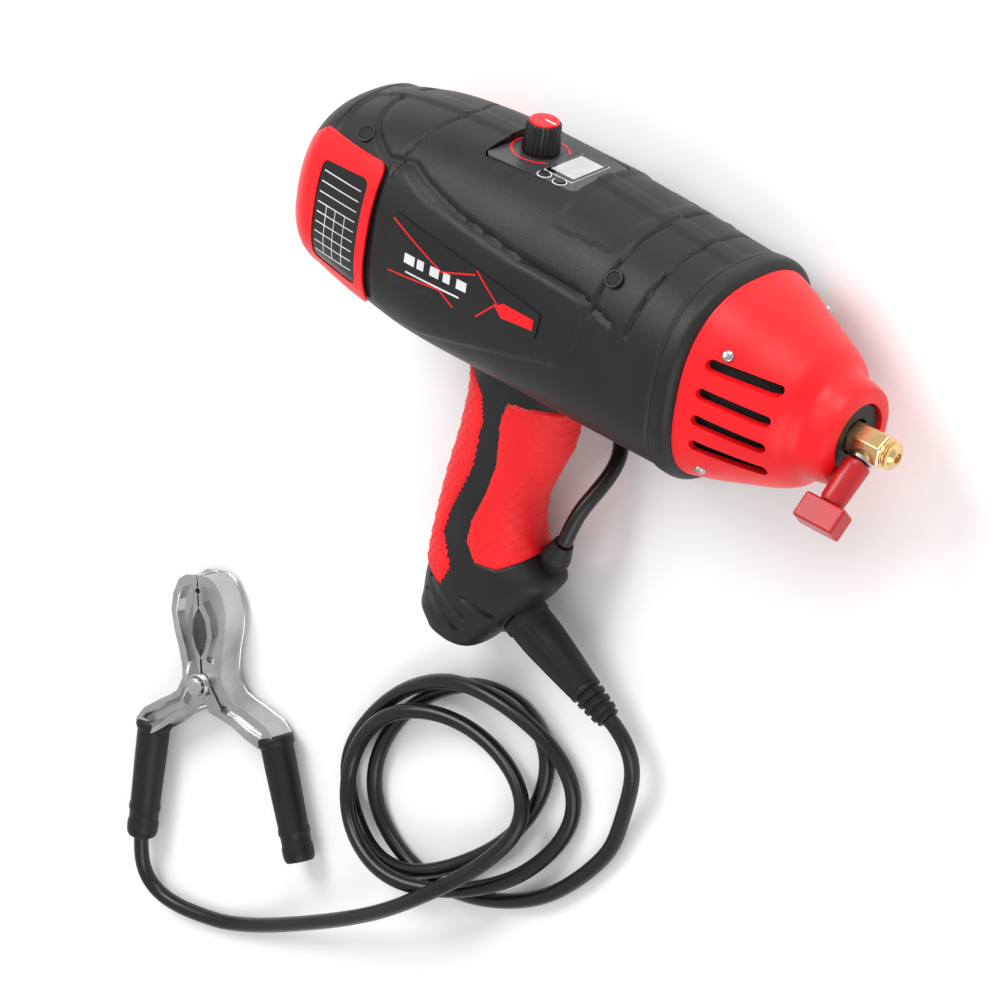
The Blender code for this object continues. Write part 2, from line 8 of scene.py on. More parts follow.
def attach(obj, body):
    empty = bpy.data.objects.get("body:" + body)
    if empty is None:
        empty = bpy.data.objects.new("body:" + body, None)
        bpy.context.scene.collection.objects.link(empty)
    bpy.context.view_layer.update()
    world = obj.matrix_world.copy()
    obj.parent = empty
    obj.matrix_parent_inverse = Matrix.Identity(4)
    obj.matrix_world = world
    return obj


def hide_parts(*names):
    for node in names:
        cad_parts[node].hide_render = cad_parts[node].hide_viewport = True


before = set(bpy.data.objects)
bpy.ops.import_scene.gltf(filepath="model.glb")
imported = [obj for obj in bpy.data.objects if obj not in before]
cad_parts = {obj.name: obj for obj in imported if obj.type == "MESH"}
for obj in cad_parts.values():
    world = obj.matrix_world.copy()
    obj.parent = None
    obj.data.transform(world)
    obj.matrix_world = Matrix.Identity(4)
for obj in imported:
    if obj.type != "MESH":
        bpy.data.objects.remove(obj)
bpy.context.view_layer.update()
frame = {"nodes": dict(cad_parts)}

ROLL = math.radians(9.7)
REST = Vector((89.55, 67.97, 58.77))
UNIT = 0.001
POSE = (Matrix.Translation(REST * UNIT) @ Matrix.Rotation(-(math.pi / 2 - ROLL), 4, "X")
        @ Matrix.Scale(UNIT, 4))
FLOOR = Matrix.Translation(Vector((REST.x, REST.y, 0)) * UNIT) @ Matrix.Scale(UNIT, 4)

# Sizes in millimetres. The gun's own frame has x to the nose, z up from the handle and y to the
# left; POSE lays it on its side. FLOOR is the frame of what lies on the floor.
CABLE = 8.5
BOW = 2.5
BODY_BACK = -248
BODY_FRONT = -11.3
HANDLE_BOW = 2.6
# The body's rows are x, half width, height above the axis and depth below it.
STATIONS = [(-248, 48, 55.5, 42), (-235, 50, 60, 45), (-215, 53, 65, 49), (-190, 55.5, 68, 53),
            (-165, 57, 69, 54), (-128, 57, 69, 54), (-90, 57, 68.5, 54), (-45, 57, 63.5, 54),
            (-11.3, 57, 60, 54)]
# The handle's rows are its rear edge (x, z), its front edge (x, z) and its half thickness.
HANDLE = [((-172, -36), (-88, -36), 21), ((-160, -64), (-97, -60), 20.5),
          ((-161, -94), (-100, -90), 20), ((-165, -122), (-110, -118), 20),
          ((-168, -146), (-112, -134), 20), ((-170, -166), (-107, -151), 20.5),
          ((-170.5, -180), (-92, -163), 22.5), ((-171, -190), (-94, -172), 23.5),
          ((-170.5, -200), (-106, -189), 23.5), ((-170, -208), (-119, -205), 23),
          ((-164, -214), (-130, -219), 21)]
PANEL_Z = 61.5
KNOB_X = -143
PLUG_AXIS = Vector((0.898, 0, -0.44))
PLUG_START = Vector((-112, 0, -192))
CORD_AXIS = Vector((0.35, 0.0, 0.94)).normalized()
CORD_EXIT = Vector((-99, 3, -157.5))
SCREW = Vector((0, -0.72, -0.694)).normalized()
CHUCK = Vector((80.6, 0, 0))


# ---------------------------------------------------------------- camera
CAM_PLACE = (1.278, 0.8893, 1.9799)
CAM_RIGHT = (0.74582, 0.23461, -0.62347)
CAM_BACK = (0.5217, 0.37627, 0.76567)
CAM_LENS = 175.9
CAM_SENSOR = 36


def make_camera():
    back = Vector(CAM_BACK)
    right = Vector(CAM_RIGHT)
    up = back.cross(right)
    camera = bpy.data.objects.new("camera", bpy.data.cameras.new("camera"))
    bpy.context.scene.collection.objects.link(camera)
    turn = Matrix((right, up, back)).transposed().to_4x4()
    camera.matrix_world = Matrix.Translation(CAM_PLACE) @ turn
    camera.data.lens = CAM_LENS
    camera.data.sensor_width = CAM_SENSOR
    camera.data.clip_end = 50
    bpy.context.scene.camera = camera


make_camera()


# ---------------------------------------------------------------- materials
def material(name, colour, rough, metal=0.0, coat=0.0, grain=(900, 0.25), vary=0.25, tint=None,
             wear=0.12, shine=0.5):
    """A procedural finish: mottled colour, uneven roughness and a fine surface grain."""
    made = bpy.data.materials.new(name)
    made.use_nodes = True
    nodes, links = made.node_tree.nodes, made.node_tree.links
    shader = nodes["Principled BSDF"]
    shader.inputs["Metallic"].default_value = metal
    shader.inputs["Coat Weight"].default_value = coat
    shader.inputs["Specular IOR Level"].default_value = shine
    place = nodes.new("ShaderNodeTexCoord")
    broad = nodes.new("ShaderNodeTexNoise")
    broad.inputs["Scale"].default_value = 38
    broad.inputs["Detail"].default_value = 6
    fine = nodes.new("ShaderNodeTexNoise")
    fine.inputs["Scale"].default_value = grain[0]
    fine.inputs["Detail"].default_value = 3
    links.new(place.outputs["Object"], broad.inputs["Vector"])
    links.new(place.outputs["Object"], fine.inputs["Vector"])
    ramp = nodes.new("ShaderNodeValToRGB")
    low = [c * (1 - vary) for c in colour]
    high = tint or [min(1, c * (1 + vary)) for c in colour]
    ramp.color_ramp.elements[0].position = 0.3
    ramp.color_ramp.elements[1].position = 0.72
    ramp.color_ramp.elements[0].color = (*low, 1)
    ramp.color_ramp.elements[1].color = (*high, 1)
    links.new(broad.outputs["Fac"], ramp.inputs["Fac"])
    links.new(ramp.outputs["Color"], shader.inputs["Base Color"])
    uneven = nodes.new("ShaderNodeMapRange")
    uneven.inputs["To Min"].default_value = max(0.02, rough - wear)
    uneven.inputs["To Max"].default_value = min(1, rough + wear)
    links.new(broad.outputs["Fac"], uneven.inputs["Value"])
    links.new(uneven.outputs["Result"], shader.inputs["Roughness"])
    bump = nodes.new("ShaderNodeBump")
    bump.inputs["Strength"].default_value = grain[1]
    bump.inputs["Distance"].default_value = 0.0003
    links.new(fine.outputs["Fac"], bump.inputs["Height"])
    links.new(bump.outputs["Normal"], shader.inputs["Normal"])
    return made


ABS = material("black_abs", (0.0075, 0.0075, 0.0085), 0.46, grain=(1500, 0.5), vary=0.25,
               shine=0.32)
SMOOTH_BLACK = material("black_satin", (0.006, 0.006, 0.007), 0.34, grain=(700, 0.12), shine=0.4)
GLOSS = material("black_gloss", (0.003, 0.003, 0.004), 0.14, coat=0.3, shine=0.3, grain=(300, 0.03),
                 wear=0.04)
RED = material("red_moulding", (0.74, 0.006, 0.010), 0.38, grain=(1300, 0.22), vary=0.07, shine=0.3)
SCREW_RED = material("red_screw", (0.40, 0.010, 0.013), 0.34, coat=0.1, shine=0.3,
                     grain=(400, 0.15), vary=0.15)
GRIP = material("red_grip", (0.74, 0.008, 0.012), 0.5, grain=(1100, 0.3), vary=0.08, shine=0.3)
GREY = material("grey_panel", (0.030, 0.031, 0.034), 0.34, grain=(900, 0.15), vary=0.12)
SCREEN = material("screen", (0.42, 0.43, 0.43), 0.16, coat=0.5, grain=(300, 0.03), wear=0.04)
PVC = material("black_pvc", (0.004, 0.004, 0.0045), 0.3, grain=(260, 0.2), vary=0.25, shine=0.4)
RUBBER = material("black_rubber", (0.006, 0.006, 0.006), 0.46, grain=(900, 0.4), vary=0.25,
                  shine=0.3)
STEEL = material("plated_steel", (0.46, 0.46, 0.47), 0.27, 1.0, grain=(500, 0.18), vary=0.2)
BRASS = material("brass", (0.80, 0.56, 0.27), 0.26, 1.0, grain=(600, 0.2), vary=0.16)
WHITE_MARK = material("white_mark", (0.62, 0.62, 0.62), 0.4, grain=(600, 0.05))
# Near-black matte finish. On the nose's dark sheet behind the slots it is painted shade of the
# hollow. On the screw heads it is partly their own black and partly the painted shade of their
# holes.
SCREW_BLACK_AND_PAINTED_SHADE = material("recess", (0.004, 0.004, 0.004), 0.8, grain=(600, 0.1))
BOARD = material("circuit_board", (0.02, 0.13, 0.06), 0.45, grain=(500, 0.4), vary=0.4)
ALUMINIUM = material("aluminium", (0.72, 0.72, 0.74), 0.34, 1.0, grain=(500, 0.3))
COPPER = material("copper", (0.75, 0.34, 0.18), 0.3, 1.0, grain=(700, 0.4))
CARRY = {
    ABS: ["fan_frame", "fan_rotor", "chuck_insulator", "switch_ring"],
    SMOOTH_BLACK: ["button_up", "button_down", "capacitor_rear", "capacitor_front"],
    RED: ["power_button"],
    RUBBER: ["mains_gland", "hank_tie", "mains_plug"],
    STEEL: ["clamp_plunger", "potentiometer", "clamp_spring"],
    BRASS: ["earth_socket", "earth_plug_pin", "plug_pin_a", "plug_pin_b"],
    BOARD: ["main_board", "control_board"], ALUMINIUM: ["heat_sink"],
    COPPER: ["transformer", "output_choke", "busbar"]}
for look, names in CARRY.items():
    for name in names:
        node = frame["nodes"][name]
        node.data.materials.clear()
        node.data.materials.append(look)


# ---------------------------------------------------------------- helpers
def soften(made, width, segments, limit):
    """Round the edges that are sharper than the limit, in degrees."""
    edge = made.modifiers.new("edge", "BEVEL")
    edge.width = width * UNIT
    edge.segments = segments
    edge.limit_method = "ANGLE"
    edge.angle_limit = math.radians(limit)
    return edge


def piece(name, body, look, body_name="root", replaces=(), matrix=POSE, bevel=0.0, smooth=40):
    """Make a form a visible piece that rides on a body and stands for the CAD nodes named."""
    bmesh.ops.recalc_face_normals(body, faces=body.faces)
    mesh = bpy.data.meshes.new(name)
    body.to_mesh(mesh)
    body.free()
    mesh.transform(matrix)
    mesh.materials.append(look)
    mesh.shade_smooth()
    mesh.set_sharp_from_angle(angle=math.radians(smooth))
    made = bpy.data.objects.new(name, mesh)
    bpy.context.scene.collection.objects.link(made)
    if bevel:
        soften(made, bevel, 3, 35).harden_normals = True
    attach(made, body_name)
    if replaces:
        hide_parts(*replaces)
    return made


def loft(rings, inner=None):
    """A skin over the rings, with flat ends, or with an inner wall in their place."""
    body = bmesh.new()
    layers = [[body.verts.new(point) for point in ring] for ring in rings]
    if inner:
        layers += [[body.verts.new(point) for point in ring] for ring in reversed(inner)]
        layers.append(layers[0])
    for first, second in zip(layers, layers[1:]):
        for index in range(len(first)):
            after = (index + 1) % len(first)
            body.faces.new((first[index], first[after], second[after], second[index]))
    if not inner:
        body.faces.new(layers[0])
        body.faces.new(layers[-1])
    return body


def mixed(rows, x):
    """Smoothly mixed values between rows that start with x."""
    k = 0
    while k < len(rows) - 2 and x > rows[k + 1][0]:
        k += 1
    a, b = rows[k], rows[k + 1]
    before, after = rows[max(0, k - 1)], rows[min(len(rows) - 1, k + 2)]
    t = min(1, max(0, (x - a[0]) / (b[0] - a[0])))
    out = []
    for i in range(1, len(a)):
        start = (b[i] - before[i]) / (b[0] - before[0]) * (b[0] - a[0])
        end = (after[i] - a[i]) / (after[0] - a[0]) * (b[0] - a[0])
        out.append((2 * t ** 3 - 3 * t ** 2 + 1) * a[i] + (t ** 3 - 2 * t ** 2 + t) * start
                   + (3 * t ** 2 - 2 * t ** 3) * b[i] + (t ** 3 - t ** 2) * end)
    return out


REAR = [(-274, 20, 24, 18), (-272.5, 26, 30, 22.5), (-270, 31, 36, 27), (-263, 40, 45.5, 34),
        (-256, 45.5, 52, 39.5), (-250, 47.8, 55.2, 41.8), (-248.3, 48, 55.5, 42)]


def half_width(x, z):
    """The body's half width at a place on its side."""
    width, top, bottom = mixed(STATIONS if x > BODY_BACK else REAR, min(x, BODY_FRONT))
    limit = top if z > 0 else bottom
    return width * max(0.0, 1 - abs(z / limit) ** BOW) ** (1 / BOW)


def ring_points(x, width, top, bottom, count=144, bow=BOW):
    """One rounded-square section across the body's axis."""
    ring = []
    for index in range(count):
        angle = 2 * math.pi * (index + 0.5) / count
        side, rise = math.cos(angle), math.sin(angle)
        height = top if rise > 0 else bottom
        ring.append(Vector((x, math.copysign(abs(side) ** (2 / bow), side) * width,
                            math.copysign(abs(rise) ** (2 / bow), rise) * height)))
    return ring


def turned(start, direction, profile, sides=64, bore=None):
    """A turned form from (distance, radius) pairs, with a bore if its own pairs are given."""
    start, direction = Vector(start), Vector(direction).normalized()
    turn = direction.to_track_quat("Z", "Y").to_matrix()

    def rings(pairs):
        return [[start + turn @ Vector((radius * math.cos(2 * math.pi * i / sides),
                                        radius * math.sin(2 * math.pi * i / sides), distance))
                 for i in range(sides)] for distance, radius in pairs]
    return loft(rings(profile), rings(bore) if bore else None)


def cut(target, body, matrix=POSE):
    """Cut a closed form out of a piece and keep the result as its mesh."""
    bmesh.ops.recalc_face_normals(body, faces=body.faces)
    mesh = bpy.data.meshes.new("tool")
    body.to_mesh(mesh)
    body.free()
    mesh.transform(matrix)
    tool = bpy.data.objects.new("tool", mesh)
    bpy.context.scene.collection.objects.link(tool)
    modifier = target.modifiers.new("cut", "BOOLEAN")
    modifier.object = tool
    modifier.solver = "EXACT"
    bpy.context.view_layer.update()
    graph = bpy.context.evaluated_depsgraph_get()
    fresh = bpy.data.meshes.new_from_object(target.evaluated_get(graph))
    target.modifiers.remove(modifier)
    target.data = fresh
    bpy.data.objects.remove(tool, do_unlink=True)


def box(low, high):
    """A block between two corners."""
    body = bmesh.new()
    bmesh.ops.create_cube(body, size=1)
    for vert in body.verts:
        vert.co = Vector([low[i] + (high[i] - low[i]) * (vert.co[i] + 0.5) for i in range(3)])
    return body


# ---------------------------------------------------------------- cords
def to_floor(point):
    """A place on the gun, in the floor's frame."""
    x, y, z = point
    return Vector((x, z * math.cos(ROLL) + y * math.sin(ROLL),
                   REST.z - y * math.cos(ROLL) + z * math.sin(ROLL)))


def floor_direction(vector):
    return to_floor(vector) - Vector((0, 0, REST.z))


def smooth_route(points, step, start_dir, end_dir):
    """An evenly spaced, smoothed path through the points, with a set direction at each end."""
    route = [Vector(p) for p in points]
    lead_in = route[0] - Vector(start_dir).normalized() * 20
    lead_out = route[-1] + Vector(end_dir).normalized() * 20
    route = [lead_in] + route + [lead_out]
    fine = []
    for a, b, c, d in zip(route, route[1:], route[2:], route[3:]):
        for index in range(24):
            t = index / 24
            fine.append(0.5 * (2 * b + (c - a) * t + (2 * a - 5 * b + 4 * c - d) * t * t
                               + (3 * b - a - 3 * c + d) * t ** 3))
    fine.append(route[-2])
    out, travelled = [fine[0]], 0.0
    for a, b in zip(fine, fine[1:]):
        travelled += (b - a).length
        if travelled >= step:
            out.append(b)
            travelled = 0.0
    out.append(fine[-1])
    for _ in range(10):
        middle = [(a + b * 2 + c) / 4 for a, b, c in zip(out, out[1:], out[2:])]
        out = [out[0], out[1]] + middle[1:-1] + [out[-2], out[-1]]
    return out


def tube(name, points, diameter, resolution, look, nodes):
    """A round bar or cord along points on the floor, as a curve with a thickness."""
    curve = bpy.data.curves.new(name, "CURVE")
    curve.dimensions = "3D"
    curve.bevel_depth = diameter / 2 * UNIT
    curve.bevel_resolution = resolution
    curve.use_fill_caps = True
    line = curve.splines.new("POLY")
    line.points.add(len(points) - 1)
    for knot, point in zip(line.points, points):
        knot.co = (*(FLOOR @ point), 1)
    curve.materials.append(look)
    made = bpy.data.objects.new(name, curve)
    bpy.context.scene.collection.objects.link(made)
    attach(made, "root")
    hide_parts(*nodes)
    return made


def cord_piece(name, points, nodes):
    """A cord that never sinks into the floor, with its exit and its length in metres."""
    lowest = CABLE / 2 + 0.1
    raised = [Vector((p.x, p.y, max(p.z, lowest))) for p in points]
    made = tube(name, raised, CABLE, 7, PVC, nodes)
    length = sum((b - a).length for a, b in zip(points, points[1:])) * UNIT
    return made, FLOOR @ points[0], length


EARTH_ROUTE = [(-34, -228, 19), (-26, -243, 15), (-27, -262, 11), (-30, -280, 7), (-34, -301, 5),
               (-63, -341, 5), (-106, -365, 5), (-151, -369, 5), (-184, -350, 5), (-193, -319, 5),
               (-177, -281, 5), (-145, -253, 5), (-109, -249, 5), (-85, -269, 5), (-86, -302, 5),
               (-107, -337, 6), (-141, -365, 15.5), (-175, -370, 12.5), (-205, -350, 5),
               (-211, -322, 5), (-188, -280, 9.5), (-151, -252, 15.5), (-111, -248, 16.5),
               (-72, -264, 9.5), (-60, -295, 5), (-79, -335, 9.5), (-114, -361, 19.5),
               (-152, -370, 27.5), (-191, -356, 19.5), (-203, -322, 13), (-182, -286, 17),
               (-148, -274, 10.5), (-107, -280, 10.5), (-83, -300, 16.5), (-93, -330, 23),
               (-122, -365, 33), (-169, -406, 22), (-249, -458, 5), (-290, -471, 5),
               (-317, -471, 7), (-329, -459, 10)]
PIVOT = Vector((-309, -331, 0))
JAW_ANGLE = math.radians(110)
ACROSS = Vector((math.sin(JAW_ANGLE), -math.cos(JAW_ANGLE), 0))
ALONG = Vector((math.cos(JAW_ANGLE), math.sin(JAW_ANGLE), 0))
SPREAD = math.radians(12)


def clamp_point(u, v, z):
    return PIVOT + ACROSS * u + ALONG * v + Vector((0, 0, z))


SLEEVES = {}
for side in (-1, 1):
    SLEEVES[side] = (clamp_point(side * 45, -26.5, 12),
                     ACROSS * side * math.sin(SPREAD) - ALONG * math.cos(SPREAD))
left_start, left_dir = SLEEVES[-1]
boot_end = to_floor(PLUG_START + PLUG_AXIS * 74.4)
earth_points = smooth_route([boot_end] + EARTH_ROUTE + [left_start + left_dir * 70.6], 3.5,
                            floor_direction(PLUG_AXIS), -left_dir)
earth_cord, earth_exit, earth_length = cord_piece("earth_lead", earth_points, ["earth_cable"])

gland_end = to_floor(CORD_EXIT + CORD_AXIS * 16.3)
HANK_X = -289
HANK_OUTER, HANK_INNER = 17.6, 9.2
HANK_LOW, HANK_HIGH = 6.1, 14.7


def hank_loop(radius, height):
    """One flat oval turn of the hank, begun on its side nearer the nose."""
    points = [(HANK_X + radius, y) for y in (-22, -34, -42)]
    points += [(HANK_X + radius * math.cos(math.radians(a)),
                -46 - radius * math.sin(math.radians(a))) for a in (15, 45, 75, 105, 135, 165)]
    points += [(HANK_X - radius, y) for y in (-42, -22, -3)]
    points += [(HANK_X - radius * math.cos(math.radians(a)), 1 + radius * math.sin(math.radians(a)))
               for a in (15, 45, 75, 105, 135, 165)]
    points += [(HANK_X + radius, -3)]
    return [(x, y, height) for x, y in points]


mains_route = [gland_end, (-91, -122, 30), (-87, -106, 21), (-87, -92, 11), (-95, -80, 5.5),
               (-112, -71, 4.6), (-150, -65, 4.6), (-190, -60, 4.6), (-225, -53, 4.6),
               (-252, -49, 5.0), (-268, -51, 5.8)]
mains_route += hank_loop(HANK_OUTER, HANK_LOW)[4:] + hank_loop(HANK_INNER, HANK_LOW)
mains_route += hank_loop(HANK_INNER, HANK_HIGH) + hank_loop(HANK_OUTER, HANK_HIGH)[:-1]
mains_route += [(HANK_X + 22, -8, 14.2), (-252, -20, 11), (-232, -33, 6.5), (-205, -44, 4.6),
                (-170, -48, 4.6), (-140, -50, 4.6), (-112, -54, 7), (-98, -61, 12),
                (-84.3, -66, 15.4)]
mains_points = smooth_route(mains_route, 3.0, floor_direction(CORD_AXIS), (1, 0, 0))
mains_cord, mains_exit, mains_length = cord_piece("mains_lead", mains_points,
                                                  ["mains_cord", "mains_hank", "mains_tail"])


# ---------------------------------------------------------------- body shell
def ramp(value, low, high):
    t = min(1.0, max(0.0, (value - low) / (high - low)))
    return t * t * (3 - 2 * t)


def line_gap(x, z, points):
    """Distance from a place on the side to a chain of (x, z) points."""
    best = 1e9
    for (ax, az), (bx, bz) in zip(points, points[1:]):
        dx, dz = bx - ax, bz - az
        t = min(1.0, max(0.0, ((x - ax) * dx + (z - az) * dz) / (dx * dx + dz * dz)))
        best = min(best, math.hypot(x - ax - dx * t, z - az - dz * t))
    return best


def inside(x, z, polygon):
    hit = False
    for (ax, az), (bx, bz) in zip(polygon, polygon[1:] + polygon[:1]):
        if (az > z) != (bz > z) and x < (bx - ax) * (z - az) / (bz - az) + ax:
            hit = not hit
    return hit


PANEL_FIELD = [(-200, 43), (-190, 47), (-175, 41), (-120, 34), (-66, 32), (-62, 28), (-63, 3),
               (-70, -7), (-128, -23), (-165, -34), (-185, -36), (-198, -28)]
CREASE = [(-232, 63), (-222, 54), (-205, 47), (-188, 51), (-176, 47), (-150, 41), (-110, 36),
          (-70, 34), (-46, 27)]


def relief(x, y, z):
    """How far the moulded surface stands in or out of the plain form, in millimetres."""
    out = 0.0
    if abs(y) > 6:
        edge = line_gap(x, z, PANEL_FIELD + PANEL_FIELD[:1])
        out += (1.0 if inside(x, z, PANEL_FIELD) else -1.0) * 0.9 * ramp(edge, 0, 1.6) - 0.2
        out -= 1.5 * (1 - ramp(line_gap(x, z, CREASE), 0.4, 2.4))
    if z > 30 or (z > -10 and x > -62):
        for centre in (-38, -62):
            if z > 25:
                out -= 1.2 * (1 - ramp(abs(x - centre - 0.12 * z), 0.4, 1.5))
    if z > 0 and abs(y) < 6:
        out -= 0.9 * (1 - ramp(abs(y), 0.15, 0.9))
    if x < -160 and z > 40:
        out -= 1.1 * (1 - ramp(abs(x + 186 + 0.25 * abs(y)), 0.4, 1.4))
    if z > 55 and -101 < x < -60:
        out -= 1.0 * ramp(x, -101, -96) * (1 - ramp(x, -66, -60))
    return min(out, 0.6)


def build_shell():
    """The two housing halves as one hollow moulding, with the panel's recess cut in its top."""
    rings, inner = [], []
    steps, count = 196, 220
    for index in range(steps + 1):
        x = BODY_BACK + (BODY_FRONT - BODY_BACK) * index / steps
        width, top, bottom = mixed(STATIONS, x)
        ring = ring_points(x, width, top, bottom, count)
        edge = min(ramp(x, BODY_BACK, -244), 1 - ramp(x, -15, -11.5))
        for point in ring:
            normal = Vector((0, math.copysign(abs(point.y / width) ** 1.5, point.y) / width,
                             math.copysign(abs(point.z / top) ** 1.5, point.z) / top)).normalized()
            point += normal * relief(point.x, point.y, point.z) * edge
        rings.append(ring)
    for x, width, top, bottom in ((BODY_BACK, 45.4, 52.9, 39.4), (-190, 52, 65, 50),
                                  (-60, 53, 61, 50), (BODY_FRONT, 53, 56, 50)):
        inner.append(ring_points(x, width, top, bottom, count))
    shell = piece("body_shell", loft(rings, inner), ABS, replaces=["housing_right", "housing_left"],
                  smooth=50)
    recess = [(-156, -26.6), (-104, -22.6), (-101.5, -20), (-101.5, 20), (-104, 22.6), (-156, 26.6),
              (-158.6, 24), (-158.6, -24)]
    cut(shell, loft([[Vector((x, y, z)) for x, y in recess] for z in (PANEL_Z - 0.3, 95)]))


build_shell()


HANDLE_ROWS = [(i, *rear, *front, half) for i, (rear, front, half) in enumerate(HANDLE)]


def handle_point(station, angle, extra=0.0):
    """A place on the handle, from its station down the rows and its angle round the section."""
    rx, rz, fx, fz, half = mixed(HANDLE_ROWS, station)
    middle = Vector(((rx + fx) / 2, 0, (rz + fz) / 2))
    reach = Vector(((fx - rx) / 2, 0, (fz - rz) / 2))
    reach *= 1 + extra / reach.length
    along, side = math.cos(angle), math.sin(angle)
    power = 2 / HANDLE_BOW
    return (middle + reach * math.copysign(abs(along) ** power, along)
            + Vector((0, (half + extra) * math.copysign(abs(side) ** power, side), 0)))


FRONT_GRIP = [(-104, -63), (-125, -66), (-128, -77), (-127, -104), (-131, -122), (-137.5, -142),
              (-138.5, -155), (-131, -164), (-117, -162), (-107, -155), (-98, -146), (-80, -120),
              (-80, -66)]
REAR_GRIP = [(-195, -58), (-154, -60), (-143, -70), (-140, -83), (-142, -113), (-153, -144),
             (-155.5, -158), (-146, -174), (-150.5, -186), (-164, -182), (-195, -176)]


def handle_relief(point):
    """Raised grips with small dots, the seams of the spine between them and the foot's vents."""
    x, z = point.x, point.z
    out = 0.0
    for field in (FRONT_GRIP, REAR_GRIP):
        edge = line_gap(x, z, field + field[:1])
        if inside(x, z, field):
            out += 1.15 * ramp(edge, 0.1, 1.6)
            u, v = x / 4.6, z / 4.0
            u += 0.5 * (math.floor(v) % 2)
            near = math.hypot((u - math.floor(u) - 0.5) * 4.6, (v - math.floor(v) - 0.5) * 4.0)
            out += 0.45 * (1 - ramp(near, 0.3, 1.3)) * ramp(edge, 2, 3.5)
        else:
            out -= 0.5 * (1 - ramp(edge, 0.1, 1.3))
    if z < -178 and abs(point.y) > 4:
        for x0, z0, x1, z1 in ((-158, -186, -132, -198), (-160, -195, -136, -207),
                               (-134, -186, -116, -190)):
            out -= 1.8 * (1 - ramp(line_gap(x, z, [(x0, z0), (x1, z1)]), 0.9, 1.9))
    return min(out, 1.6)


def build_handle():
    """The handle with its foot; the faces inside the two grip outlines are red."""
    rings, count, steps = [], 264, 400
    for index in range(steps + 1):
        station = (len(HANDLE) - 1) * index / steps
        ring = []
        for k in range(count):
            angle = 2 * math.pi * (k + 0.5) / count
            base = handle_point(station, angle)
            ring.append(handle_point(station, angle, handle_relief(base) * ramp(station, 0.5, 0.8)))
        rings.append(ring)
    middle = sum(rings[-1], Vector()) / count
    for share, drop in ((0.93, 1.1), (0.75, 1.9), (0.4, 2.3), (0.1, 2.4)):
        rings.append([middle + (p - middle) * share + Vector((0.2, 0, -0.98)) * drop
                      for p in rings[steps]])
    handle = piece("handle_shell", loft(rings), ABS, smooth=60)
    handle.data.materials.append(GRIP)
    inverse = POSE.inverted()
    for face in handle.data.polygons:
        point = inverse @ face.center
        if inside(point.x, point.z, FRONT_GRIP) or inside(point.x, point.z, REAR_GRIP):
            face.material_index = 1
    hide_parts("grip_front", "grip_rear")


build_handle()


# ---------------------------------------------------------------- nose, ring and rear cover
NOSE = [(0, 52.5, 56, 50, 2.5), (13, 50, 52, 48, 2.3), (28, 45.5, 46, 44.5, 2.1),
        (42, 40.5, 40.5, 40.5, 2), (51, 36, 36, 36, 2), (56, 30.5, 30.5, 30.5, 2),
        (58.5, 29, 29, 29, 2), (69.5, 26.6, 26.6, 26.6, 2), (72.2, 25.0, 25.0, 25.0, 2),
        (73, 22, 22, 22, 2)]


def dense(rows, step, count):
    """Rings at even steps along rows of x, half width, top, bottom and roundness."""
    out, x = [], rows[0][0]
    while x < rows[-1][0] + 1e-6:
        width, top, bottom, bow = mixed(rows, x)
        out.append(ring_points(x, width, top, bottom, count, bow))
        x += step
    return out


nose_inner = [ring_points(x, a, t, b, 128, w) for x, a, t, b,
              w in ((0.3, 49, 52, 46, 2.5), (13, 46.5, 48, 44.5, 2.3), (40, 37, 37, 37, 2),
                    (55, 22, 22, 22, 2), (60, 17.6, 17.6, 17.6, 2), (73, 18.2, 18.2, 18.2, 2))]
nose = piece("nose_shell", loft(dense(NOSE, 1.46, 128), nose_inner), RED, replaces=["nose_cone"])


def slot_form(side, height):
    """The cutter for one slot: round at both ends and a little lower towards the nose's tip."""
    points = []
    for x, z, turn in ((12, height, 90), (43.5, height - 4, -90)):
        for k in range(12):
            a = math.radians(turn + 180 * k / 11)
            points.append((x + 3.0 * math.cos(a), z + 3.0 * math.sin(a)))
    return loft([[Vector((x, side * y, z)) for x, z in points] for y in (14, 70)])


for side in (-1, 1):
    for number in range(4):
        cut(nose, slot_form(side, 27 - number * 14.4))
soften(nose, 0.7, 2, 40)
# A dark sheet inside the nose behind the slots: painted shade of the nose's hollow, seen through
# the slots.
painted_shade_sheet = [ring_points(x, a, t, b, 96, w) for x, a, t, b, w in
         ((2, 46, 49, 43, 2.5), (14, 43.5, 45, 42, 2.3), (40, 34, 34, 34, 2), (44, 31, 31, 31, 2))]
wall = 1.2
painted_shade_sheet_inner = [ring_points(ring[0].x, max(p.y for p in ring) - wall, max(p.z for p in ring) - wall,
                           -min(p.z for p in ring) - wall, 96, 2.2) for ring in painted_shade_sheet]
piece("nose_painted_shade", loft(painted_shade_sheet, painted_shade_sheet_inner), SCREW_BLACK_AND_PAINTED_SHADE)
RING = [(-11, 57, 60, 54, 2.5), (-9, 57.2, 60.2, 54.2, 2.5), (-4, 57, 60, 54, 2.5),
        (-1.5, 55.3, 58.6, 52.5, 2.5), (-0.3, 53, 56.3, 50.3, 2.5)]
piece("front_collar",
      loft(dense(RING, 0.535, 144), [ring_points(-11, 49, 52, 46), ring_points(-0.3, 47, 50, 45)]),
      ABS, replaces=["front_ring"])
rear_rings = []
for index in range(53):
    x = -274 + 25.7 * index / 52
    width, top, bottom = mixed(REAR, x)
    rear_rings.append(ring_points(x, width, top, bottom, 144))
rear_inner = [ring_points(x, a, t, b) for x, a, t,
              b in ((-274, 12, 14, 11), (-270.5, 12, 14, 11), (-262, 36, 42, 31),
                    (-248.3, 45.4, 52.9, 39.4))]
piece("rear_shell", loft(rear_rings, rear_inner), ABS, replaces=["rear_cover"])


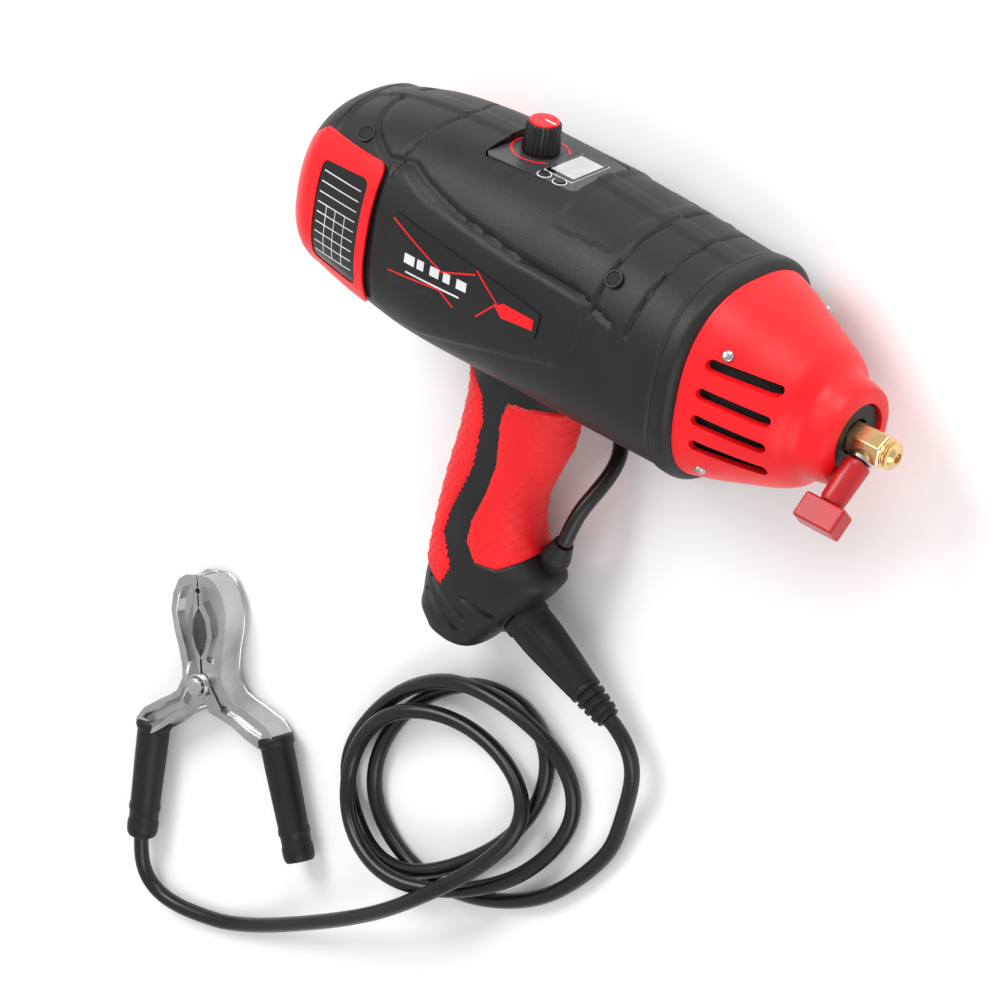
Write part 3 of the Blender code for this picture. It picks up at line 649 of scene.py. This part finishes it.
# ---------------------------------------------------------------- plates that follow the side
def rounded(corners, radius, steps=8):
    out = []
    count = len(corners)
    for k in range(count):
        here = Vector(corners[k])
        before = (Vector(corners[k - 1]) - here).normalized()
        after = (Vector(corners[(k + 1) % count]) - here).normalized()
        half = before.angle(after) / 2
        reach = radius / math.tan(half)
        start, end = here + before * reach, here + after * reach
        for i in range(steps + 1):
            t = i / steps
            out.append((1 - t) ** 2 * start + 2 * t * (1 - t) * here + t * t * end)
    return out


def side_plate(name, outline, side, lift, thickness, look, replaces=(), step=2.5,
               hole=None):
    """A thin plate on the side: the outline filled with a fine grid and laid on the surface."""
    body = bmesh.new()
    rim = [body.verts.new((p[0], 0, p[1])) for p in outline]
    edges = [body.edges.new((rim[i], rim[(i + 1) % len(rim)])) for i in range(len(rim))]
    if hole:
        inner = [body.verts.new((p[0], 0, p[1])) for p in hole]
        edges += [body.edges.new((inner[i], inner[(i + 1) % len(inner)]))
                  for i in range(len(inner))]
    bmesh.ops.triangle_fill(body, use_beauty=True, edges=edges, normal=(0, 1, 0))
    low_x, high_x = min(p[0] for p in outline), max(p[0] for p in outline)
    low_z, high_z = min(p[1] for p in outline), max(p[1] for p in outline)
    for axis, low, high in ((0, low_x, high_x), (2, low_z, high_z)):
        place = low + step
        while place < high:
            point = [0, 0, 0]
            point[axis] = place
            normal = [0, 0, 0]
            normal[axis] = 1
            geometry = body.verts[:] + body.edges[:] + body.faces[:]
            bmesh.ops.bisect_plane(body, geom=geometry, plane_co=point, plane_no=normal)
            place += step
    bmesh.ops.recalc_face_normals(body, faces=body.faces)
    made = bmesh.ops.extrude_face_region(body, geom=body.faces[:])
    raised = {v for v in made["geom"] if isinstance(v, bmesh.types.BMVert)}
    for vert in body.verts:
        extra = lift + (thickness if vert in raised else 0)
        vert.co.y = side * (half_width(vert.co.x, vert.co.z) + extra)
    return piece(name, body, look, replaces=replaces, smooth=50)


def stripe(start, end, width):
    a, b = Vector(start), Vector(end)
    normal = Vector((-(b - a).y, (b - a).x)).normalized() * width / 2
    return [a + normal, b + normal, b - normal, a - normal]


for side, word in ((-1, "right"), (1, "left")):
    frame_outline = rounded([(-262, -24), (-252, -34), (-203, -36), (-202, 45), (-252, 43),
                             (-262, 34)], 6)
    frame_hole = rounded([(-243.5, -24), (-209, -26), (-208.5, 35), (-243.5, 31)], 5)
    side_plate("label_rim_" + word, frame_outline, side, 0.35, 1.2, RED, ["label_frame_" + word],
               hole=frame_hole)
    side_plate("label_face_" + word,
               rounded([(-244, -24.5), (-208.4, -26.5), (-208, 35.5), (-244, 31.5)], 5), side, 0.3,
               0.7, GLOSS, ["label_plate_" + word])
    for k in range(9):
        z = 26 - k * 5.6
        side_plate("label_line_%s_%d" % (word, k), stripe((-241, z), (-212, z + 1.2), 0.55), side,
                   1.02, 0.1, WHITE_MARK, step=4)
    for k, x in enumerate((-234, -227, -219.5)):
        side_plate("label_column_%s_%d" % (word, k), stripe((x, -18), (x, 9.5), 0.45), side, 1.02,
                   0.1, WHITE_MARK, step=4)
    badge = rounded([(-185.5, -9.5), (-86, 0.5), (-84.5, 15.5), (-104, 18.5), (-186.5, 29)], 3.5)
    side_plate("badge_" + word, badge, side, 0.5, 0.8, GLOSS, ["side_badge_" + word])
    marks = {"mark_a": ((-186, 25), (-149, 11)), "mark_b": ((-149, 11), (-128, 18.5)),
             "mark_c": ((-184, -3), (-149, 1)), "mark_d": ((-149, 1), (-139, -4.6)),
             "mark_e": ((-128, 21), (-112, 9.5)), "mark_f": ((-112, 9.5), (-124, -3))}
    for label, (start, end) in marks.items():
        side_plate("badge_%s_%s" % (label, word), stripe(start, end, 0.8), side, 1.32, 0.1, RED)
    side_plate("badge_arrow_" + word,
               [Vector(p) for p in ((-113.5, 8), (-108, 3.4), (-88, 5.2), (-88, 11), (-108, 11.4))],
               side, 1.32, 0.1, RED)
    for k, length in enumerate((7, 4.5, 6, 4.5, 6.5)):
        x = -174 + k * 8.8
        side_plate("badge_block_%d_%s" % (k, word),
                   stripe((x, 8.4 + k * 0.2), (x + length, 8.5 + k * 0.2), 5.2), side, 1.32, 0.1,
                   WHITE_MARK)
    side_plate("badge_line_%s" % word, stripe((-172, 1.2), (-136, 2.2), 0.9), side, 1.32, 0.1,
               WHITE_MARK)

# ---------------------------------------------------------------- control panel
panel_outline = rounded([(-155, -26), (-104, -22), (-102, -19), (-102, 19), (-104, 22), (-155, 26),
                         (-158, 23), (-158, -23)], 1.2, 4)
panel = piece("panel_face",
              loft([[Vector((p.x, p.y, z)) for p in panel_outline]
                    for z in (PANEL_Z, PANEL_Z + 3.4)]), GREY, replaces=["control_panel"])
cut(panel, box((-128.3, -15.3, PANEL_Z + 2.2), (-109.1, 15.3, PANEL_Z + 9)))
for x in (-124, -114):
    cut(panel, turned((x, -19, PANEL_Z - 4), (0, 0, 1), [(0, 3.2), (14, 3.2)], 32))
soften(panel, 0.6, 3, 30)
piece("display_face", box((-128, -15, PANEL_Z + 2.3), (-109.4, 15, PANEL_Z + 3.6)), SCREEN,
      bevel=0.3, replaces=["display_window"])
bezel_outline = rounded([(-127.6, -14.6), (-109.8, -14.6), (-109.8, 14.6), (-127.6, 14.6)], 1.5, 4)
piece("display_bezel",
      loft([[Vector((p.x, p.y, PANEL_Z + z)) for p in bezel_outline] for z in (3.5, 3.66)]), GLOSS)
piece("display_window_pane", box((-126.2, -11.4, PANEL_Z + 3.6), (-111.4, 12.2, PANEL_Z + 3.74)),
      SCREEN)
arc = bmesh.new()
steps = 60
verts = []
for k in range(steps + 1):
    angle = math.radians(35 + 290 * k / steps)
    row = []
    for radius, z in ((14.2, 3.35), (15.4, 3.35), (15.4, 3.5), (14.2, 3.5)):
        row.append(arc.verts.new((KNOB_X + radius * math.cos(angle), radius * math.sin(angle),
                                  PANEL_Z + z)))
    verts.append(row)
for first, second in zip(verts, verts[1:]):
    for k in range(4):
        arc.faces.new((first[k], first[(k + 1) % 4], second[(k + 1) % 4], second[k]))
arc.faces.new(verts[0])
arc.faces.new(verts[-1])
piece("dial_arc", arc, RED)
for name, x in (("button_up", -124), ("button_down", -114)):
    piece(name + "_cap",
          turned((x, -19, PANEL_Z + 1), (0, 0, 1),
                 [(0, 2.9), (3.0, 2.9), (3.5, 2.5), (3.6, 1.6), (3.35, 0.4)], 40), SMOOTH_BLACK,
          name, replaces=[name])
    piece(name + "_ring", turned((x, -19, PANEL_Z + 3.38), (0, 0, 1), [(0, 3.9), (0.25, 3.8)], 40,
                                 [(0, 3.25), (0.25, 3.3)]), WHITE_MARK)

# knob: ribbed skirt, flat cap with a pointer line
knob_rings = []
for z, radius, rib in ((3.9, 9.3, 0.5), (4.2, 9.9, 0.55), (7, 9.75, 0.6), (17.5, 9.0, 0.6),
                       (18.8, 8.8, 0.5), (19.3, 8.3, 0.3)):
    ring = []
    for k in range(288):
        angle = 2 * math.pi * k / 288
        wave = max(0, math.cos(angle * 24)) ** 0.6
        ring.append(Vector((KNOB_X + (radius - rib * wave) * math.cos(angle),
                            (radius - rib * wave) * math.sin(angle), PANEL_Z + z)))
    knob_rings.append(ring)
piece("knob_skirt", loft(knob_rings), SMOOTH_BLACK, "knob", replaces=["knob_body"],
      smooth=30)
piece("knob_disc",
      turned((KNOB_X, 0, PANEL_Z + 19.1), (0, 0, 1),
             [(0, 7.7), (0.9, 7.7), (1.3, 7.3), (1.4, 4), (1.3, 0.4)], 72), RED, "knob",
      replaces=["knob_cap"])
piece("knob_pointer",
      box((KNOB_X + 0.5, -0.55, PANEL_Z + 20.3), (KNOB_X + 7.3, 0.55, PANEL_Z + 20.65)), WHITE_MARK,
      "knob")
piece("knob_flange",
      turned((KNOB_X, 0, PANEL_Z + 3.35), (0, 0, 1), [(0, 11.2), (0.4, 11.1), (0.5, 10.6)], 72),
      SMOOTH_BLACK)


# ---------------------------------------------------------------- screws
def screw(name, point, normal, nodes):
    """A dark screw in a small raised well; the head's near-black is partly its own colour and
    partly painted shade of the screw hole.
    """
    well = [(-0.6, 4.9), (0.5, 4.9), (0.7, 4.4), (0.6, 3.7), (-0.4, 3.4)]
    piece(name + "_well", turned(point, normal, well, 40), ABS)
    piece(name, turned(point, normal, [(-0.5, 3.3), (0.35, 3.3), (0.45, 2.4), (0.1, 0.9)], 32),
          SCREW_BLACK_AND_PAINTED_SHADE, replaces=nodes)


SCREWS = [("screw_rear", -226, 50, -1, ["screw_rear_right"]),
          ("screw_front", -53, 46, -1, ["screw_front_right"]), ("screw_rear_far", -226, 50, 1, []),
          ("screw_front_far", -53, 46, 1, [])]
for name, x, z, side, nodes in SCREWS:
    y = half_width(x, z)
    normal = Vector((0, side * y / 57 ** 2, z / 60 ** 2)).normalized()
    screw(name, Vector((x, side * y, z)), normal, nodes)


for side in (-1, 1):
    for x, z in ((17, 33), (12, -33)):
        width, top, bottom, _ = mixed(NOSE, x)
        limit = top if z > 0 else bottom
        y = width * (1 - abs(z / limit) ** 2.3) ** (1 / 2.3)
        normal = Vector((0.25, side * y / width ** 2 * 50, z / limit ** 2 * 50)).normalized()
        point = Vector((x, side * y, z))
        label = "nose_screw_%d_%d" % (side + 1, z)
        piece(label,
              turned(point, normal, [(-1, 3.0), (0.5, 3.0), (1.1, 2.5), (1.35, 1.4), (1.4, 0.3)],
                     40), STEEL)


# ---------------------------------------------------------------- chuck and clamping screw
def hexagon(x, radius):
    angles = [math.radians(60 * k + 30) for k in range(6)]
    return [Vector((x, radius * math.cos(a), radius * math.sin(a))) for a in angles]


hex_rings = [hexagon(x, r) for x, r in ((40, 9.2), (90, 9.2), (91.2, 8.2))]
piece("chuck_body", loft(hex_rings, [hexagon(x, 2.5) for x in (40, 91.2)]), BRASS,
      replaces=["electrode_chuck"], bevel=0.5, smooth=25)
piece("chuck_nose",
      turned((90.9, 0, 0), (1, 0, 0),
             [(0, 7.7), (0.8, 7.7), (1.4, 6.9), (3.2, 6.4), (5.6, 5.0), (6.3, 4.2)], 64,
             [(0, 2.5), (6.3, 2.5)]), BRASS, replaces=["chuck_tip"])
for k in range(3):
    piece("chuck_thread_%d" % k,
          turned((91.6 + k * 1.3, 0, 0), (1, 0, 0), [(0, 6.9), (0.45, 7.5), (0.9, 6.9)], 48), BRASS)
piece("steel_ring", turned(CHUCK, SCREW, [(7.6, 5.6), (8.0, 6.6), (9.6, 6.6), (10.2, 5.8)], 48),
      STEEL)
piece("lever_sleeve",
      turned(CHUCK, SCREW, [(11, 6.0), (11.3, 6.8), (12.2, 7.3), (14, 7.2), (33, 6.6), (35, 5.8)],
             72), SCREW_RED, "clamp_lever", replaces=["clamp_lever"])
turn = SCREW.to_track_quat("Z", "X").to_matrix()
head = box((-6, -12, -7), (6, 12, 7))
for vert in head.verts:
    vert.co = CHUCK + SCREW * 42.4 + turn @ vert.co
piece("lever_head", head, SCREW_RED, "clamp_lever", replaces=["clamp_head"], bevel=1.4,
      smooth=35)

# ---------------------------------------------------------------- earth plug
piece("plug_sleeve",
      turned(PLUG_START, PLUG_AXIS,
             [(2.6, 12.2), (3.2, 12.9), (7, 12.9), (8, 12.1), (20, 11.9), (38, 10.4), (52, 9.0),
              (53, 8.6)], 96), RUBBER, replaces=["earth_plug_body"])
turn_plug = PLUG_AXIS.to_track_quat("Z", "Y").to_matrix()
for k in range(6):
    angle = 2 * math.pi * k / 6 + 0.5
    ridge = []
    for distance, radius in ((10, 11.7), (20, 11.5), (38, 9.9), (49, 8.7)):
        section = []
        for a, up in ((-0.13, -0.4), (-0.09, 0.75), (0.09, 0.75), (0.13, -0.4)):
            reach = radius + up
            section.append(PLUG_START + turn_plug @ Vector((reach * math.cos(angle + a),
                                                            reach * math.sin(angle + a), distance)))
        ridge.append(section)
    piece("plug_ridge_%d" % k, loft(ridge), RUBBER, bevel=0.2)
boot = [(53.1, 7.0), (53.3, 8.8)]
for index in range(4):
    s = 53.5 + index * 5
    boot += [(s, 8.9 - index * 0.5), (s + 2.2, 8.75 - index * 0.5), (s + 2.6, 8.3 - index * 0.5),
             (s + 2.8, 6.9 - index * 0.3), (s + 4.5, 6.8 - index * 0.3)]
boot += [(73.2, 6.6), (74.1, 6.0)]
piece("plug_boot", turned(PLUG_START, PLUG_AXIS, boot, 72), RUBBER, replaces=["earth_plug_boot"])
piece("plug_collar",
      turned(PLUG_START, PLUG_AXIS, [(0.6, 13.2), (0.9, 14.4), (2.2, 14.4), (2.5, 13.3)], 72,
             [(0.6, 11.4), (2.5, 11.4)]), SMOOTH_BLACK)

# ---------------------------------------------------------------- earth clamp
ARM = [(0.5, 61), (7.5, 60.5), (12.5, 58), (17, 50), (19, 41), (17.5, 30), (14.5, 19), (12.8, 9),
       (13.2, 2), (18, -6), (24, -9.6), (31, -12.5), (44, -19), (49.5, -24.5), (48, -30), (40, -31),
       (31, -26.5), (21, -20.5), (11, -16.5), (5, -14.6), (2.9, -9.9), (0.5, -5), (0.5, 14),
       (4.5, 20), (6.8, 28), (5.6, 37), (0.6, 45), (0.6, 50), (3.4, 53), (0.6, 56)]


def sheet_arm(name, side, body_name, nodes):
    """A pressed steel arm: two flanges and a rolled back."""
    outline = [Vector(p) for p in ARM]
    count = len(outline)
    rings = []
    for z, inset in ((3.3, 1.3), (3.5, 0.6), (4.2, 0.1), (6, 0), (18, 0), (19.8, 0.1), (20.5, 0.6),
                     (20.7, 1.3)):
        ring = []
        for k in range(count):
            here = outline[k]
            along = (outline[(k + 1) % count] - outline[k - 1]).normalized()
            normal = Vector((-along.y, along.x))
            moved = here + normal * inset
            ring.append(clamp_point(side * moved.x, moved.y, z))
        rings.append(ring)
    arm = piece(name, loft(rings), STEEL, body_name, replaces=nodes, matrix=FLOOR,
                smooth=50)
    trough = [(3.4, 56.5), (10.5, 54.5), (14.5, 47), (16.2, 40), (14, 30), (10.5, 19), (9.5, 13),
              (9.2, 12), (4.0, 14), (9.3, 27), (8.0, 38), (3.4, 47)]
    cut(arm, loft([[clamp_point(side * u, v, z) for u, v in trough] for z in (17.6, 24)]), FLOOR)
    channel = [(15, -10), (23, -13.5), (32, -17), (43, -23), (42, -27), (31, -22.5), (21, -17),
               (12, -13.5)]
    cut(arm, loft([[clamp_point(side * u, v, z) for u, v in channel] for z in (17.2, 24)]), FLOOR)
    soften(arm, 0.6, 2, 40)


sheet_arm("steel_arm_left", -1, "root", ["clamp_arm_left"])
sheet_arm("steel_arm_right", 1, "clamp_arm_right", ["clamp_arm_right"])
for side, body_name, word in ((-1, "root", "left"), (1, "clamp_arm_right", "right")):
    start, direction = SLEEVES[side]
    profile = [(-1, 8.3), (-0.6, 9.6), (0.4, 10.3), (3.2, 10.4), (4.6, 9.9), (5.4, 9.2), (20, 9.1),
               (50, 8.5), (52, 9.0), (54, 9.0), (55, 8.4), (60, 8.3), (62, 8.9), (66, 8.9),
               (68.5, 8.5), (70, 7.6)]
    piece("grip_sleeve_" + word, turned(start, direction, profile, 72), RUBBER, body_name,
          matrix=FLOOR, replaces=["clamp_sleeve_" + word])
piece("rivet",
      turned(clamp_point(0, 0, 0.8), (0, 0, 1),
             [(0, 5.2), (1.6, 5.2), (2, 3.1), (25.8, 3.1), (26, 5.2), (27, 5.0), (27.9, 3.4),
              (28, 0.5)], 48), STEEL, matrix=FLOOR, replaces=["clamp_rivet"])
coil_points = [clamp_point(6.0 * math.cos(a), 6.0 * math.sin(a), 21.9 + 3.2 * a / (5 * math.pi))
               for a in [k * math.pi / 12 for k in range(61)]]
coil_points = [clamp_point(14, -13, 21.6)] + coil_points + [clamp_point(-14, -13, 24.9)]
tube("torsion_spring", coil_points, 1.5, 4, STEEL, ["clamp_spring"])

# ---------------------------------------------------------------- the CAD nodes by name
nodes = frame["nodes"]

# ---------------------------------------------------------------- floor and light
floor = bpy.data.meshes.new("floor")
plane = bmesh.new()
bmesh.ops.create_grid(plane, x_segments=2, y_segments=2, size=4)
plane.to_mesh(floor)
plane.free()
floor_object = bpy.data.objects.new("floor", floor)
floor_object.location.z = -0.0003
bpy.context.scene.collection.objects.link(floor_object)
floor.materials.append(material("studio_floor", (0.86, 0.86, 0.86), 0.75, grain=(60, 0.02),
                                vary=0.01))
world = bpy.data.worlds.new("studio")
world.use_nodes = True
world.node_tree.nodes["Background"].inputs["Color"].default_value = (1, 1, 1, 1)
world.node_tree.nodes["Background"].inputs["Strength"].default_value = 0.75
bpy.context.scene.world = world
for name, place, size, power in (("key", (-0.9, 1.0, 1.5), 1.0, 26),
                                 ("fill", (1.3, -0.7, 1.1), 1.2, 12),
                                 ("rim", (0.2, 1.6, 0.7), 0.8, 12)):
    light = bpy.data.lights.new(name, "AREA")
    light.size = size
    light.energy = power
    lamp = bpy.data.objects.new(name, light)
    lamp.location = place
    lamp.rotation_euler = (Vector((0, -0.05, 0.05)) - Vector(place)).to_track_quat("-Z",
                                                                                   "Y").to_euler()
    bpy.context.scene.collection.objects.link(lamp)
bpy.context.scene.view_settings.view_transform = "Standard"
